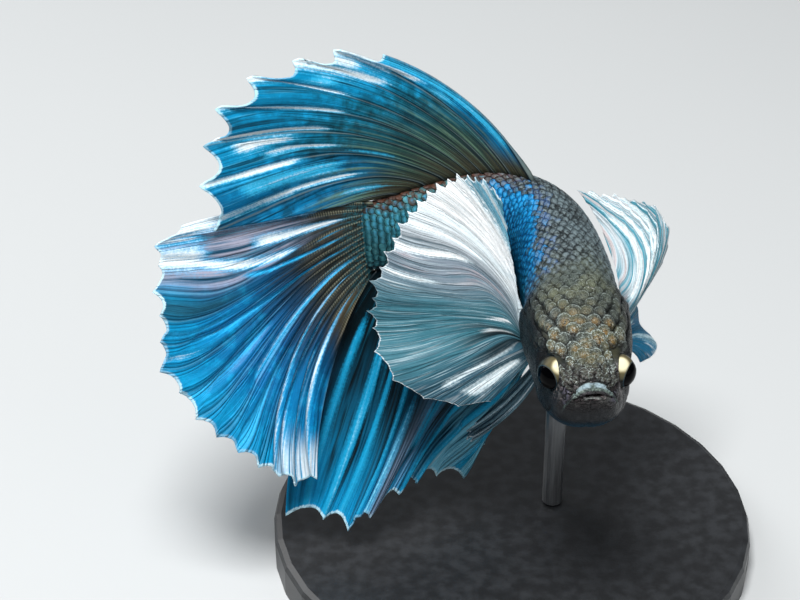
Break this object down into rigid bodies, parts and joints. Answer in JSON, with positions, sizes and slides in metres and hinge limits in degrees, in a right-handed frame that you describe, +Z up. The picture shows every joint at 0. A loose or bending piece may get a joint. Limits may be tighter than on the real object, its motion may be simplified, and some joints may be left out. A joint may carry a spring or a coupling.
{
  "type": "life-size betta fish model on a display stand",
  "caption": "Blue and turquoise betta fish with large white pectoral fins, bent to its right, held by a rod on a round black base.",
  "frame": {"origin": "centre of the underside of the stand's base", "axes": "+Z up from the base to the fish; the fish's head points to -Y and its tail bends round to -X"},
  "size_m": [0.0628, 0.052, 0.0551],
  "materials": {
    "head_skin": "wet scales, grey-brown with gold centres",
    "jaw_skin": "wet dark grey skin with a blue sheen",
    "body_skin": "wet iridescent blue scales",
    "eye": "wet and glossy",
    "blue_fin": "wet translucent membrane with metallic blue rays",
    "white_fin": "wet pearly white membrane",
    "pale_fin": "wet pale blue membrane",
    "stand_base": "satin black",
    "stand_rod": "satin"
  },
  "bodies": {
    "root": {"head": "head_skin", "lower_jaw": "jaw_skin", "gill_cover_right": "jaw_skin", "gill_cover_left": "jaw_skin", "eye_right": "eye", "eye_left": "eye", "trunk": "body_skin", "tail_stalk": "body_skin", "dorsal_fin": "blue_fin", "anal_fin": "blue_fin", "tail_fin": "blue_fin", "pectoral_fin_right": "white_fin", "pectoral_fin_left": "white_fin", "pelvic_fin_right": "pale_fin", "pelvic_fin_left": "pale_fin", "stand_base": "stand_base", "stand_rod": "stand_rod"}
  },
  "joints": []
}
